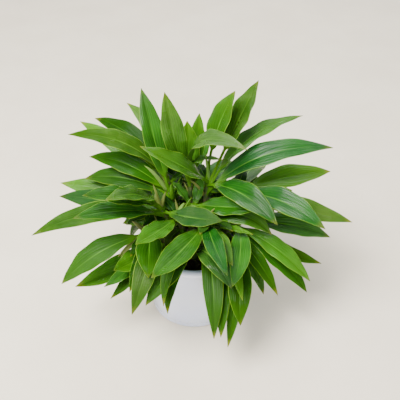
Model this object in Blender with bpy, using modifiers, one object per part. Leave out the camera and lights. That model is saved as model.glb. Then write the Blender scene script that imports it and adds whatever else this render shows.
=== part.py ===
"""A potted philodendron: a turned white pot, its potting mix, and fifteen leafy stems that grow out of it.

Metres, +Z up. The origin is the centre of the pot's flat base, and -Y is the front of the plant.
"""

import math
import random
from collections import namedtuple

import bmesh
import bpy
import numpy as np
from mathutils import Vector
from mathutils.bvhtree import BVHTree

# Pot
POT_HEIGHT = 0.090
POT_BASE_RADIUS = 0.050
POT_NECK_RADIUS = 0.0525
POT_WALL = 0.003
POT_FLOOR = 0.004
LIP_RADIUS = 0.054
LIP_HEIGHT = 0.008
FOOT_HEIGHT = 0.005
FOOT_GROOVE = 0.0006
POT_SIDES = 48

# Potting mix
GAP = 0.0003
SOIL_EDGE_HEIGHT = 0.078
SOIL_DOME = 0.005
SOIL_SIDES = 32

# Stems
STEM_RADIUS = 0.0045
STEM_TOP_RADIUS = 0.0028
STEM_DEPTH = 0.030
STEM_COLLAR = 0.006
STEM_SPREAD = 0.60
HOLE_SIDES = 12
INTERNODE = 0.0036

# Leaves
PETIOLE_SHARE = 0.12
PETIOLE_RADIUS = 0.0016
TIP_RADIUS = 0.0005
BLADE_THICKNESS = 0.0010
MIDRIB_THICKNESS = 0.0014
FOLD = math.radians(20)
WIDEST = 0.45
TIP_TAPER = 1.05
MARGIN_WAVE = 0.0008
STATIONS = (0.0, 0.12, 0.28, 0.46, 0.64, 0.82, 1.0)
BOW = 5
GOLDEN = 0.618
FAN_FALL = 20
SEED = 7

# Room kept between neighbours, and how far a leaf is bent to find it. Leaves of one stem may run into each
# other before section FREE_FROM, where they are one body anyway, and must be clear beyond it.
CLEARANCE = 0.0012
BEND_STEP = 0.005
BENDS = 10
LIFTS = (0.0, 0.007, -0.007, 0.014)
VIEWER = Vector((0.0, -0.54, 0.57))
FREE_FROM = 2

Stem = namedtuple("Stem", "name crown leaves fan", defaults=(None,))
Leaf = namedtuple("Leaf", "tip width arch bow turn stalk", defaults=(0, 25, PETIOLE_SHARE))
Fan = namedtuple("Fan", "count heading spread rise reach")

# A stem gives the place of its crown, in millimetres. Each leaf gives its tip, its width, how high it arches
# and how far it bows to its left, all in millimetres, then how far its face turns to the light at the front,
# in degrees, and the share of its length that is stalk. The first leaves of a stem are its youngest, at the
# crown. A fan adds leaves that others hide from the front: how many, their middle heading and its spread to
# each side in degrees, their middle rise in degrees, and their reach in millimetres.
STEMS = (
    Stem("stem_middle", (-4, 36, 150), (
        Leaf((55, -5, 215), 25, 31),
        Leaf((32, 29, 180), 12, 24, 0, 0),
        Leaf((-29, 33, 260), 26, -3, 1, 65, 0.25),
        Leaf((-7, 44, 220), 25, 4, 0, 0, 0.25),
        Leaf((6, 43, 230), 20, 4, 0, 0, 0.3),
    )),
    Stem("stem_back_right", (16, 32, 150), (
        Leaf((-55, 10, 210), 26, 14, 12),
        Leaf((85, -50, 155), 30, 14),
        Leaf((69, 70, 254), 30, 12, -3, 0, 0.38),
        Leaf((43, 45, 255), 29, 11, 6, 0, 0.42),
        Leaf((149, 30, 195), 29, 22),
        Leaf((120, 70, 211), 25, 32, 0, 0, 0.25),
    ), Fan(2, 60, 25, -38, 100)),
    Stem("stem_left_front", (-38, 0, 140), (
        Leaf((-105, -60, 200), 28, 4),
        Leaf((-85, -55, 190), 24, 4),
        Leaf((30, -38, 150), 26, -2),
        Leaf((-115, -70, 180), 26, 6),
        Leaf((-165, -50, 141), 25, 17),
        Leaf((-155, 40, 122), 29, 7),
    )),
    Stem("stem_left", (-28, 28, 140), (
        Leaf((-57, 79, 240), 27, 8, 4, 0, 0.16),
        Leaf((-120, 65, 160), 26, 14),
        Leaf((-125, 50, 140), 28, 20),
        Leaf((-150, 35, 145), 30, 7),
        Leaf((-80, 8, 108), 26, 6),
    ), Fan(1, 150, 20, -30, 90)),
    Stem("stem_back_left", (-32, 48, 145), (
        Leaf((-136, 47, 201), 24, 19),
        Leaf((-103, 122, 178), 26, 7),
        Leaf((-79, 118, 200), 18, 18),
        Leaf((-118, 115, 181), 26, 14),
        Leaf((-134, 106, 182), 26, 14),
    ), Fan(2, 120, 20, -25, 105)),
    Stem("stem_centre", (-18, -4, 128), (
        Leaf((-55, -85, 160), 24, 6),
    )),
    Stem("stem_inner", (-2, 8, 136), (
        Leaf((67, -30, 158), 25, 8),
        Leaf((-24, 18, 160), 12, 2, 0, 0, 0.2),
        Leaf((8, 24, 164), 12, 2, 0, 0, 0.2),
    )),
    Stem("stem_front", (16, -12, 130), (
        Leaf((-40, -105, 135), 28, 3),
        Leaf((33, -107, 140), 20, 8, -4),
        Leaf((62, -42, 135), 7, 3),
        Leaf((84, -25, 120), 24, 8),
        Leaf((39, -83, 130), 20, 8),
        Leaf((21, -117, 60), 22, 12, 3),
        Leaf((28, -115, 60), 23, 12, 6),
    )),
    Stem("stem_low_left", (-50, -22, 120), (
        Leaf((-141, -59, 80), 28, 12),
        Leaf((-45, -85, 115), 28, 8),
        Leaf((-65, -85, 95), 15, 6),
        Leaf((-62, -104, 82), 24, 12, 6),
        Leaf((-82, -69, 110), 26, -1),
        Leaf((-93, -73, 90), 17, 2),
        Leaf((-86, -82, 82), 16, 4),
        Leaf((-126, -63, 80), 27, -4),
    )),
    Stem("stem_right_back", (50, 28, 140), (
        Leaf((155, 50, 150), 29, 5),
        Leaf((135, -45, 145), 30, 14),
        Leaf((172, -10, 125), 27, 10),
        Leaf((112, 38, 132), 24, 8),
    ), Fan(3, 60, 40, -25, 105)),
    Stem("stem_right", (50, -6, 124), (
        Leaf((38, -107, 125), 22, 8, 5),
        Leaf((155, 5, 90), 28, 9),
        Leaf((125, -55, 80), 22, 10),
        Leaf((124, -52, 60), 24, 11),
        Leaf((90, -66, 70), 16, 9, -5),
        Leaf((144, -17, 70), 20, -2),
        Leaf((76, -55, 60), 17, 4),
        Leaf((49, -103, 102), 14, 5),
    )),
    Stem("stem_front_right", (54, -36, 104), (
        Leaf((48, -108, 70), 25, 9, -2),
        Leaf((35, -121, 52), 15, 12, 2),
    )),
    Stem("stem_front_left", (0, -32, 106), (
        Leaf((38, -95, 110), 25, 8),
        Leaf((-48, -98, 89), 24, 9, 1),
        Leaf((-30, -100, 90), 14, 12, -7),
        Leaf((-26, -100, 79), 16, 14, -8),
    )),
    Stem("stem_back", (-4, 62, 124), (
        Leaf((10, 150, 144), 31, 12),
        Leaf((-78, 100, 125), 30, 10),
        Leaf((70, 125, 100), 30, 12),
        Leaf((-22, 92, 35), 28, 16),
        Leaf((-60, 80, 45), 30, 14),
        Leaf((-80, 50, 48), 30, 3),
        Leaf((-95, 66, 112), 30, 8),
        Leaf((-40, 150, 95), 28, 14),
        Leaf((-92, 55, 98), 30, 6),
        Leaf((15, 95, 30), 28, 16),
    )),
    Stem("stem_low_back", (34, 58, 116), (
        Leaf((92, 66, 108), 30, 8),
        Leaf((50, 84, 42), 30, 14),
        Leaf((80, 58, 45), 30, 12),
        Leaf((106, 48, 66), 30, 10),
        Leaf((30, 155, 75), 28, 14),
        Leaf((80, 125, 80), 28, 14),
    )),
)


def clear_scene():
    for old in list(bpy.data.objects):
        bpy.data.objects.remove(old, do_unlink=True)


def material(name, colour, roughness):
    made = bpy.data.materials.new(name)
    made.use_nodes = True
    shader = made.node_tree.nodes["Principled BSDF"]
    shader.inputs["Base Color"].default_value = (*colour, 1.0)
    shader.inputs["Roughness"].default_value = roughness
    shader.inputs["Metallic"].default_value = 0.0
    return made


def add_object(name, mesh, home):
    made = bpy.data.objects.new(name, mesh)
    home.objects.link(made)
    return made


def mesh_of(name, points, faces):
    made = bpy.data.meshes.new(name)
    made.from_pydata([tuple(point) for point in points], [], [tuple(face) for face in faces])
    return made


def turned(name, profile, sides, home, surface):
    """A profile of (radius, height) points, running down its outer side, turned about the Z axis."""
    points = [(radius, 0.0, height) for radius, height in profile]
    mesh = bpy.data.meshes.new(name)
    mesh.from_pydata(points, [(i, i + 1) for i in range(len(points) - 1)], [])
    made = add_object(name, mesh, home)
    screw = made.modifiers.new("turn", "SCREW")
    screw.axis = "Z"
    screw.steps = sides
    screw.render_steps = sides
    screw.use_merge_vertices = True
    screw.merge_threshold = 0.0001
    screw.use_smooth_shade = True
    mesh.materials.append(surface)
    return made


def arc(centre, radius, start, end, count):
    """Points on a circle in the profile plane, from one angle in degrees to another."""
    angles = np.radians(np.linspace(start, end, count))
    return [(centre[0] + radius * math.cos(a), centre[1] + radius * math.sin(a)) for a in angles]


def inner_radius(height):
    """The pot's inner wall leans out evenly from its floor to its mouth."""
    share = (height - POT_FLOOR) / (POT_HEIGHT - POT_FLOOR)
    low, high = POT_BASE_RADIUS - POT_WALL, POT_NECK_RADIUS - POT_WALL
    return low + (high - low) * share


def pot_profile():
    """Up the inside, over the rolled lip, down the outside past the foot, and back to the axis."""
    lip_round = LIP_HEIGHT / 2
    lip_edge = LIP_RADIUS - lip_round
    mouth = (inner_radius(POT_HEIGHT), POT_HEIGHT - 0.001)
    lip = arc((lip_edge, POT_HEIGHT - lip_round), lip_round, 90, -60, 6)
    foot_round = 0.0015
    foot = arc((POT_BASE_RADIUS - foot_round, foot_round), foot_round, 0, -90, 3)
    return [
        (0.0, POT_FLOOR),
        (inner_radius(POT_FLOOR) - 0.003, POT_FLOOR),
        (inner_radius(POT_FLOOR + 0.003), POT_FLOOR + 0.003),
        mouth,
        *lip,
        (POT_NECK_RADIUS, POT_HEIGHT - LIP_HEIGHT - 0.001),
        (POT_BASE_RADIUS, FOOT_HEIGHT + 0.002),
        (POT_BASE_RADIUS - FOOT_GROOVE, FOOT_HEIGHT + 0.001),
        (POT_BASE_RADIUS - FOOT_GROOVE, FOOT_HEIGHT),
        (POT_BASE_RADIUS, FOOT_HEIGHT - 0.0006),
        *foot,
        (0.0, 0.0),
    ]


def soil_height(radius):
    """The mix is heaped a little in the middle, as a flat parabola."""
    edge = inner_radius(SOIL_EDGE_HEIGHT) - GAP
    return SOIL_EDGE_HEIGHT + SOIL_DOME * (1 - (radius / edge) ** 2)


def soil_profile():
    """From the middle of the heap out to the pot's wall, down it, and back along the floor to the axis."""
    edge = inner_radius(SOIL_EDGE_HEIGHT) - GAP
    floor = POT_FLOOR + GAP
    heap = [(radius, soil_height(radius)) for radius in np.linspace(0, edge, 4)]
    corner = POT_FLOOR + 0.003
    return [
        *heap,
        (inner_radius(corner) - 2 * GAP, corner + GAP),
        (inner_radius(POT_FLOOR) - 0.003 - GAP, floor),
        (0.0, floor),
    ]


def stem_base(stem):
    """Where a stem enters the mix: nearer the middle than its crown, because the stems lean apart."""
    return Vector(stem.crown[:2]) * 0.001 * STEM_SPREAD


def stem_points(stem):
    """The stem's line: straight down in its hole, then leaning out to the crown."""
    base = stem_base(stem)
    top = soil_height(base.length) + STEM_COLLAR
    foot = Vector((*base, top - STEM_COLLAR - STEM_DEPTH))
    collar = Vector((*base, top))
    crown = Vector(stem.crown) * 0.001
    bend = Vector((*base, (collar.z + crown.z) / 2))
    lean = [collar * (1 - t) ** 2 + bend * 2 * t * (1 - t) + crown * t**2 for t in (0, 0.25, 0.5, 0.75, 1)]
    return [foot, *lean]


def stem_at(stem, below):
    """The point on a stem's line this far below its crown."""
    line = stem_points(stem)[::-1]
    for upper, lower in zip(line, line[1:]):
        step = (upper - lower).length
        if below <= step:
            return upper.lerp(lower, below / step)
        below -= step
    return line[-1]


def stem_mesh(stem):
    """An eight-sided tube along the stem's line, tapering above the mix, as a curve made into a mesh."""
    line = stem_points(stem)
    curve = bpy.data.curves.new(stem.name, "CURVE")
    curve.dimensions = "3D"
    curve.bevel_depth = STEM_RADIUS
    curve.bevel_resolution = 2
    curve.use_fill_caps = True
    spline = curve.splines.new("POLY")
    spline.points.add(len(line) - 1)
    top_share = STEM_TOP_RADIUS / STEM_RADIUS
    for i, point in enumerate(line):
        spline.points[i].co = (*point, 1.0)
        spline.points[i].radius = 1 - (1 - top_share) * max(0, i - 1) / (len(line) - 2)
    guide = bpy.data.objects.new(stem.name + "_line", curve)
    bpy.context.scene.collection.objects.link(guide)
    bpy.context.view_layer.update()
    scene = bpy.context.evaluated_depsgraph_get()
    mesh = bpy.data.meshes.new_from_object(guide.evaluated_get(scene))
    bpy.data.objects.remove(guide)
    shape = bmesh.new()
    shape.from_mesh(mesh)
    bmesh.ops.remove_doubles(shape, verts=shape.verts, dist=0.00001)
    bmesh.ops.triangulate(shape, faces=shape.faces)
    shape.to_mesh(mesh)
    shape.free()
    mesh.materials.clear()
    return mesh


def blade_half_width(share, width):
    """Half the blade's width at a share of its length: it opens fast, then tapers to a point."""
    opening = TIP_TAPER * WIDEST / (1 - WIDEST)
    v = np.clip(share, 0, 1)
    return width / 2 * (v / WIDEST) ** opening * ((1 - v) / (1 - WIDEST)) ** TIP_TAPER


def leaf_sections(root, tip, width, arch, bow, turn, stalk, extra=0.0):
    """The leaf's cross-sections from root to tip, six points each.

    The midrib is a quadratic curve whose middle stands `arch` above the straight line and `bow` beside it.
    A section goes left edge, midrib, right edge along the top, and back along the underside. The two halves
    rise from the midrib by the fold angle. `extra` thickens the body all round, to test for room.
    """
    root, tip = np.array(root), np.array(tip)
    chord = tip - root
    heading = np.array((chord[0], chord[1], 0.0))
    heading /= np.linalg.norm(heading)
    across = np.array((-heading[1], heading[0], 0.0))
    over = np.cross(chord, across)
    over /= np.linalg.norm(over)
    middle = (root + tip) / 2 + 2 * arch * over + 2 * bow * across
    u = np.array([0.0, *(stalk + (1 - stalk) * v for v in STATIONS)])[:, None]
    line = root * (1 - u) ** 2 + middle * 2 * u * (1 - u) + tip * u**2
    along = (middle - root) * (1 - u) + (tip - middle) * u
    along /= np.linalg.norm(along, axis=1, keepdims=True)
    across = across - (along @ across)[:, None] * along
    across /= np.linalg.norm(across, axis=1, keepdims=True)
    over = np.cross(along, across)
    turn = turn * across[:, 1:2] * np.clip(u / 0.5, 0, 1)
    side = across * np.cos(turn) + over * np.sin(turn)
    up = over * np.cos(turn) - across * np.sin(turn)
    blade = np.clip((u - stalk) / (1 - stalk), 0, 1)
    opened = np.clip(blade * 6, 0, 1)
    rim = PETIOLE_RADIUS * (1 - opened) + TIP_RADIUS * opened + blade_half_width(blade, width) + extra
    edge = PETIOLE_RADIUS * (1 - opened) + BLADE_THICKNESS * opened + 2 * extra
    rib = 2 * PETIOLE_RADIUS * (1 - opened) + MIDRIB_THICKNESS * opened + 2 * extra
    fold = FOLD * opened * (1 - 0.5 * blade)
    wave = MARGIN_WAVE * opened * np.where(np.arange(len(u)) % 2, 1.0, -1.0)[:, None]
    sections = []
    for sign, thickness, away in ((1, edge, 1), (0, rib, 0), (-1, edge, 1)):
        centre = line + sign * side * rim * np.cos(fold) + up * away * (rim * np.sin(fold) + sign * wave)
        sections.append((centre + up * thickness / 2, centre - up * thickness / 2))
    top = [pair[0] for pair in sections]
    under = [pair[1] for pair in sections][::-1]
    return np.stack(top + under, axis=1)


def loft_faces(count):
    """Triangles between neighbouring sections, split alike on the top and the underside, and the two ends."""
    faces = []
    for i in range(count - 1):
        for k in range(6):
            a, b = 6 * i + k, 6 * i + (k + 1) % 6
            c, d = a + 6, b + 6
            if k in (0, 4):
                faces += [(a, b, c), (b, d, c)]
            else:
                faces += [(a, b, d), (a, d, c)]
    for start, order in ((0, 1), (6 * (count - 1), -1)):
        ring = [start + k for k in (0, 5, 4, 3, 2, 1)][::order]
        faces += [(ring[0], ring[k], ring[k + 1]) for k in range(1, 5)]
    return faces


def fan_leaves(stem, draw):
    """Leaves that the front of the plant hides, with a small seeded jitter.

    Each turns about the stem by the golden share of the spread, and the lower it grows the more it falls.
    """
    made = []
    fan = stem.fan or Fan(0, 0, 0, 0, 0)
    for i in range(fan.count):
        around = 2 * (GOLDEN * (i + 1) % 1) - 1
        down = 2 * (i + 0.5) / fan.count - 1
        heading = math.radians(fan.heading + fan.spread * around + draw.uniform(-6, 6))
        rise = math.radians(fan.rise - FAN_FALL * down + draw.uniform(-4, 4))
        reach = fan.reach + draw.uniform(-6, 6)
        flat = reach * math.cos(rise)
        root = Vector(stem.crown)
        tip = root + Vector((flat * math.cos(heading), flat * math.sin(heading), reach * math.sin(rise)))
        made.append(Leaf(tuple(tip), draw.uniform(27, 31), 14, draw.uniform(-BOW, BOW)))
    return made


def crosses(body, others):
    return any(body.overlap(other) for other in others)


def bends():
    """Ways to bend a leaf, the slightest first: its tip goes to the viewer or away, or its arch changes."""
    for i in range(BENDS + 1):
        for lift in LIFTS:
            yield BEND_STEP * i, lift
            yield -BEND_STEP * i, lift


def free_body(sections, start):
    """The part of a leaf beyond its first sections, as a tree for finding crossings."""
    kept = sections[start:]
    return BVHTree.FromPolygons(kept.reshape(-1, 3).tolist(), loft_faces(len(kept)))


def grow(vessel):
    """Each stem's leaves as lists of sections, each bent clear of the vessel and of what grew before it.

    The listed leaves of all stems grow first. A fan leaf that finds no room is left out.
    """
    draw = random.Random(SEED)
    grown = {stem.name: [] for stem in STEMS}
    scene = bpy.context.evaluated_depsgraph_get()
    bodies = {"vessel": [BVHTree.FromObject(piece, scene) for piece in vessel]}
    for stem in STEMS:
        mesh = stem_mesh(stem)
        points = [vertex.co.copy() for vertex in mesh.vertices]
        faces = [tuple(face.vertices) for face in mesh.polygons]
        bodies[stem.name] = [BVHTree.FromPolygons(points, faces)]
        bpy.data.meshes.remove(mesh)
    blades = {stem.name: [] for stem in STEMS}
    listed = [(stem, leaf) for stem in STEMS for leaf in stem.leaves]
    hidden = [(stem, leaf) for stem in STEMS[::-1] for leaf in fan_leaves(stem, draw)]
    for stem, leaf in listed + hidden:
        root = stem_at(stem, INTERNODE * (len(grown[stem.name]) + 0.5))
        strangers = [tree for name, trees in bodies.items() if name != stem.name for tree in trees]
        kin = blades[stem.name]
        for shift, lift in bends():
            tip = Vector(leaf.tip) * 0.001
            tip += (VIEWER - tip).normalized() * shift
            size = (leaf.width * 0.001, leaf.arch * 0.001 + lift, leaf.bow * 0.001)
            turn = math.radians(leaf.turn)
            roomy = leaf_sections(root, tip, *size, turn, leaf.stalk, extra=CLEARANCE)
            if not crosses(free_body(roomy, 0), strangers) and not crosses(free_body(roomy, FREE_FROM), kin):
                break
        else:
            continue
        sections = leaf_sections(root, tip, *size, turn, leaf.stalk)
        grown[stem.name].append(sections)
        bodies[stem.name].append(free_body(sections, 0))
        blades[stem.name].append(free_body(sections, FREE_FROM))
    return grown


def leafy_stem(stem, leaves, home, surface):
    """The stem and its leaves as one solid: a union of the tube with the leaves rooted deep in it."""
    made = add_object(stem.name, stem_mesh(stem), home)
    sprays = bpy.data.collections.new(stem.name + "_leaves")
    bpy.context.scene.collection.children.link(sprays)
    for i, sections in enumerate(leaves):
        mesh = mesh_of(f"{stem.name}_leaf_{i}", sections.reshape(-1, 3), loft_faces(len(sections)))
        add_object(mesh.name, mesh, sprays)
    union = made.modifiers.new("grown together", "BOOLEAN")
    union.operation = "UNION"
    union.operand_type = "COLLECTION"
    union.collection = sprays
    union.solver = "MANIFOLD"
    bpy.context.view_layer.update()
    scene = bpy.context.evaluated_depsgraph_get()
    fused = bpy.data.meshes.new_from_object(made.evaluated_get(scene))
    made.modifiers.clear()
    made.data = fused
    fused.materials.clear()
    fused.materials.append(surface)
    for leaf in list(sprays.objects):
        bpy.data.objects.remove(leaf)
    bpy.data.collections.remove(sprays)
    return made


def cut_holes(soil, cutters):
    """A plain hole in the mix for every stem, a gap wider and deeper than the stem."""
    for stem in STEMS:
        base = stem_base(stem)
        floor = stem_points(stem)[0].z - GAP
        depth = STEM_DEPTH + 0.02
        bpy.ops.mesh.primitive_cylinder_add(
            vertices=HOLE_SIDES,
            radius=(STEM_RADIUS + GAP) / math.cos(math.pi / HOLE_SIDES),
            depth=depth,
            location=(*base, floor + depth / 2),
        )
        cutter = bpy.context.object
        cutter.name = stem.name + "_hole"
        for old in list(cutter.users_collection):
            old.objects.unlink(cutter)
        cutters.objects.link(cutter)
        cutter.hide_render = True
        cutter.display_type = "WIRE"
        hole = soil.modifiers.new(cutter.name, "BOOLEAN")
        hole.operation = "DIFFERENCE"
        hole.object = cutter


def build():
    clear_scene()
    plant = bpy.data.collections.new("Potted philodendron")
    cutters = bpy.data.collections.new("Cutters")
    bpy.context.scene.collection.children.link(plant)
    bpy.context.scene.collection.children.link(cutters)
    glaze = material("white_glaze", (0.80, 0.80, 0.84), 0.15)
    pot = turned("pot", pot_profile(), POT_SIDES, plant, glaze)
    mix = material("potting_mix", (0.05, 0.035, 0.025), 0.95)
    soil = turned("soil", soil_profile(), SOIL_SIDES, plant, mix)
    cut_holes(soil, cutters)
    grown = grow([pot, soil])
    green = (0.10, 0.30, 0.04)
    for stem in STEMS:
        leafy_stem(stem, grown[stem.name], plant, material(stem.name + "_green", green, 0.35))


build()
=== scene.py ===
# %% [markdown]
# # A potted philodendron
#
# This notebook dresses a plain model of a house plant: a white pot, its potting mix and fifteen leafy stems.
# The plain model has the right places and sizes, but a leaf of it has only eight sections of six corners.
# Every leaf is grown again here as a fine surface along the same line, and gets its veins, its gloss and its
# colours.
#
# The plain model is loaded first.

# %% Load the plain plant
import math
import random
from collections import namedtuple

import bpy
import numpy as np
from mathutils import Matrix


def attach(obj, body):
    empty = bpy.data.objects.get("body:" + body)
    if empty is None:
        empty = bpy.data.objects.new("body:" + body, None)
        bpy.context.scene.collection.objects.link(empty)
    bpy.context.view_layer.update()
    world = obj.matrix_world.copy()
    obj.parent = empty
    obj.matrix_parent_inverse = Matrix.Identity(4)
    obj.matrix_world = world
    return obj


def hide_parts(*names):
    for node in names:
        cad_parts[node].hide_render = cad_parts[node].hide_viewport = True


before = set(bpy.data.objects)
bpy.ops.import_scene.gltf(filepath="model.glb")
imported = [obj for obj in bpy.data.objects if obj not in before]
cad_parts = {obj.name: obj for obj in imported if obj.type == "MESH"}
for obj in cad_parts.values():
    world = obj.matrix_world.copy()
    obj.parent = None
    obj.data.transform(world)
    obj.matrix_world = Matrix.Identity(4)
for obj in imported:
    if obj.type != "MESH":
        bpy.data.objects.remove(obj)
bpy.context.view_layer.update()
print("nodes:", ", ".join(sorted(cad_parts)))

# %% [markdown]
# ## The camera
#
# The plant is seen from above its front, 38 degrees down. A long lens keeps the leaves in proportion: its
# length is worked out from a focal length in pixels of a picture 400 pixels wide.

# %% Camera
PICTURE_WIDTH = 400
FOCAL_PIXELS = 634
LOOKING_DOWN = math.radians(38)
CAMERA_PLACE = (0.00683, -0.53756, 0.56779)

lens = bpy.data.cameras.new("front_camera")
lens.sensor_width = 36
lens.lens = lens.sensor_width * FOCAL_PIXELS / PICTURE_WIDTH
camera = bpy.data.objects.new("front_camera", lens)
camera.location = CAMERA_PLACE
camera.rotation_euler = (math.pi / 2 - LOOKING_DOWN, 0, 0)
bpy.context.scene.collection.objects.link(camera)
bpy.context.scene.camera = camera
print("lens", round(lens.lens, 1), "mm")

# %% [markdown]
# ## Helpers for nodes
#
# A material is a graph of nodes. It could be wired by hand in the Shader Editor, but a few helpers make it
# read like a recipe. One adds a node, sets its plain settings, and fills its sockets: a socket takes a
# number, a colour, or the output of another node. The others calculate, blend two colours, make a soft ramp,
# start a new material and turn a height into bumps.

# %% Node helpers
def add_node(tree, kind, sockets=None, **settings):
    """A new node with its settings and sockets filled. A socket is named by its name or its number."""
    made = tree.nodes.new(kind)
    for name, value in settings.items():
        setattr(made, name, value)
    for name, value in (sockets or {}).items():
        if isinstance(value, bpy.types.NodeSocket):
            tree.links.new(value, made.inputs[name])
        elif isinstance(value, tuple) and len(value) == 3 and made.inputs[name].type == "RGBA":
            made.inputs[name].default_value = (*value, 1.0)
        else:
            made.inputs[name].default_value = value
    return made


def calculate(tree, operation, *values):
    """The output of a Math node over one, two or three values."""
    return add_node(tree, "ShaderNodeMath", dict(enumerate(values)), operation=operation).outputs[0]


def blend_colours(tree, share, first, second):
    """The first colour, turning into the second as the share goes from 0 to 1."""
    mix = add_node(tree, "ShaderNodeMix", {0: share, 6: first, 7: second}, data_type="RGBA")
    return mix.outputs[2]


def rise(tree, value, start, end):
    """0 below the start, 1 above the end, and a soft ramp between them."""
    ramp = {"Value": value, "From Min": start, "From Max": end}
    return add_node(tree, "ShaderNodeMapRange", ramp, interpolation_type="SMOOTHSTEP").outputs[0]


def new_material(name):
    """An empty node material, its node tree and its Principled BSDF."""
    made = bpy.data.materials.new(name)
    made.use_nodes = True
    return made, made.node_tree, made.node_tree.nodes["Principled BSDF"]


def raise_bumps(tree, shader, height, strength, distance):
    """The shader's normals lean as if the surface stood out by height x distance, in metres."""
    bump = {"Height": height, "Strength": strength, "Distance": distance}
    tree.links.new(add_node(tree, "ShaderNodeBump", bump).outputs[0], shader.inputs["Normal"])


print("node helpers: add_node, calculate, blend_colours, rise, new_material, raise_bumps")

# %% [markdown]
# ## Effects that several finishes share
#
# An effect that more than one material needs is a node group, built once: a tree of its own, with one node
# that gives its inputs and one that takes its results. The same nodes could be copied into each material,
# but then each change would have to be made in every copy.

# %% Group helpers
def new_group(name, inputs, outputs):
    """An empty node group. Its inputs are numbers, each with its usual value, and its outputs have kinds."""
    tree = bpy.data.node_groups.new(name, "ShaderNodeTree")
    for socket, default in inputs.items():
        entry = tree.interface.new_socket(socket, in_out="INPUT", socket_type="NodeSocketFloat")
        entry.default_value = default
    for socket, kind in outputs.items():
        tree.interface.new_socket(socket, in_out="OUTPUT", socket_type="NodeSocket" + kind)
    return tree, tree.nodes.new("NodeGroupInput").outputs, tree.nodes.new("NodeGroupOutput").inputs


def place_group(tree, group, **sockets):
    """The outputs of a group placed in this tree. Its sockets are named with capitals, such as Scale."""
    return add_node(tree, "ShaderNodeGroup", sockets, node_tree=group).outputs


print("group helpers: new_group, place_group")

# %% [markdown]
# Three small effects come back all over the plant:
#
# - *mottle*: a soft cloudy value, because nothing that grows is of one even colour;
# - *arching veins*: fine lines that leave the midrib at a low angle and run on to the margin;
# - *fine grain*: the small bumps of a surface, as a height.
#
# A picture could hold such patterns too, but a formula stays sharp at any size and needs no file.

# %% Mottle, veins and grain
def mottle_group():
    """Noise over the object's own space, whose values from 0.3 to 0.7 are softly spread over 0 to 1."""
    tree, given, result = new_group("mottle", {"Scale": 20.0, "Detail": 3.0}, {"Value": "Float"})
    place = add_node(tree, "ShaderNodeTexCoord").outputs["Object"]
    cloud = {"Vector": place, "Scale": given["Scale"], "Detail": given["Detail"], "Roughness": 0.55}
    noise = add_node(tree, "ShaderNodeTexNoise", cloud).outputs[0]
    tree.links.new(rise(tree, noise, 0.3, 0.7), result["Value"])
    return tree


def veins_group():
    """((cos(2 pi x count x (across - lean x along)) + 1) / 2)^3: 1 on a line, and 0 half way to the next."""
    inputs = {"Across": 0.0, "Along": 0.0, "Count": 6.0, "Lean": 0.8}
    tree, given, result = new_group("arching veins", inputs, {"Line": "Float"})
    drift = calculate(tree, "MULTIPLY", given["Along"], given["Lean"])
    place = calculate(tree, "SUBTRACT", given["Across"], drift)
    turns = calculate(tree, "MULTIPLY", calculate(tree, "MULTIPLY", place, given["Count"]), 2 * math.pi)
    swing = calculate(tree, "COSINE", turns)
    height = calculate(tree, "MULTIPLY_ADD", swing, 0.5, 0.5)
    tree.links.new(calculate(tree, "POWER", height, 3.0), result["Line"])
    return tree


def grain_group():
    """A noise plus 0.4 of one that is 3.1 times as fine, as a height."""
    tree, given, result = new_group("fine grain", {"Scale": 900.0}, {"Height": "Float"})
    place = add_node(tree, "ShaderNodeTexCoord").outputs["Object"]
    coarse = {"Vector": place, "Scale": given["Scale"], "Detail": 2.0}
    fine = {"Vector": place, "Scale": calculate(tree, "MULTIPLY", given["Scale"], 3.1), "Detail": 1.0}
    large = add_node(tree, "ShaderNodeTexNoise", coarse).outputs[0]
    small = add_node(tree, "ShaderNodeTexNoise", fine).outputs[0]
    tree.links.new(calculate(tree, "MULTIPLY_ADD", small, 0.4, large), result["Height"])
    return tree


MOTTLE = mottle_group()
VEINS = veins_group()
GRAIN = grain_group()


def mottle(tree, scale, detail):
    """The mottle's value, with its scale in clouds a metre and its detail in sizes of noise."""
    return place_group(tree, MOTTLE, Scale=scale, Detail=detail)["Value"]


print("node groups:", ", ".join(group.name for group in bpy.data.node_groups))

# %% [markdown]
# ## One helper for every shape
#
# A leaf, a stem and a turned pot are the same kind of surface: a row of closed rings. It is a function of two
# parameters, one along the row and one around the ring. The rings of one piece are joined by faces whose
# corner numbers are worked out all at once. Curves with a bevel could make tubes too, but not the leaf, which
# is round at its stalk and a thin folded blade further on.

# %% Rings
def full_turn(columns):
    """Evenly spaced angles round a ring, as one row."""
    return np.linspace(0, 2 * np.pi, columns, endpoint=False)[None, :]


def ring_uv(angle, v):
    """The uv of a row of rings: u is the share of the turn, and v is given for each ring."""
    return np.stack([angle / (2 * np.pi) + 0 * v, v + 0 * angle], axis=-1)


def ring_faces(rows, columns, first):
    """The four corners of each face between neighbouring rings, counted from the first point's number."""
    row, column = np.meshgrid(np.arange(rows - 1), np.arange(columns), indexing="ij")
    here = row * columns + column
    beside = row * columns + (column + 1) % columns
    corners = np.stack([here, beside, beside + columns, here + columns], axis=-1)
    return (first + corners.reshape(-1, 4)).tolist()


print("faces between two rings of four points:", len(ring_faces(2, 4, 0)))

# %% [markdown]
# A piece is made of many such tubes: a stem with all its leaves, for one. They could be separate objects
# that are joined at the end, but one mesh built at once is far quicker. A flat face closes each end of a
# tube. The points carry values of their own, which the materials read.

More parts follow.
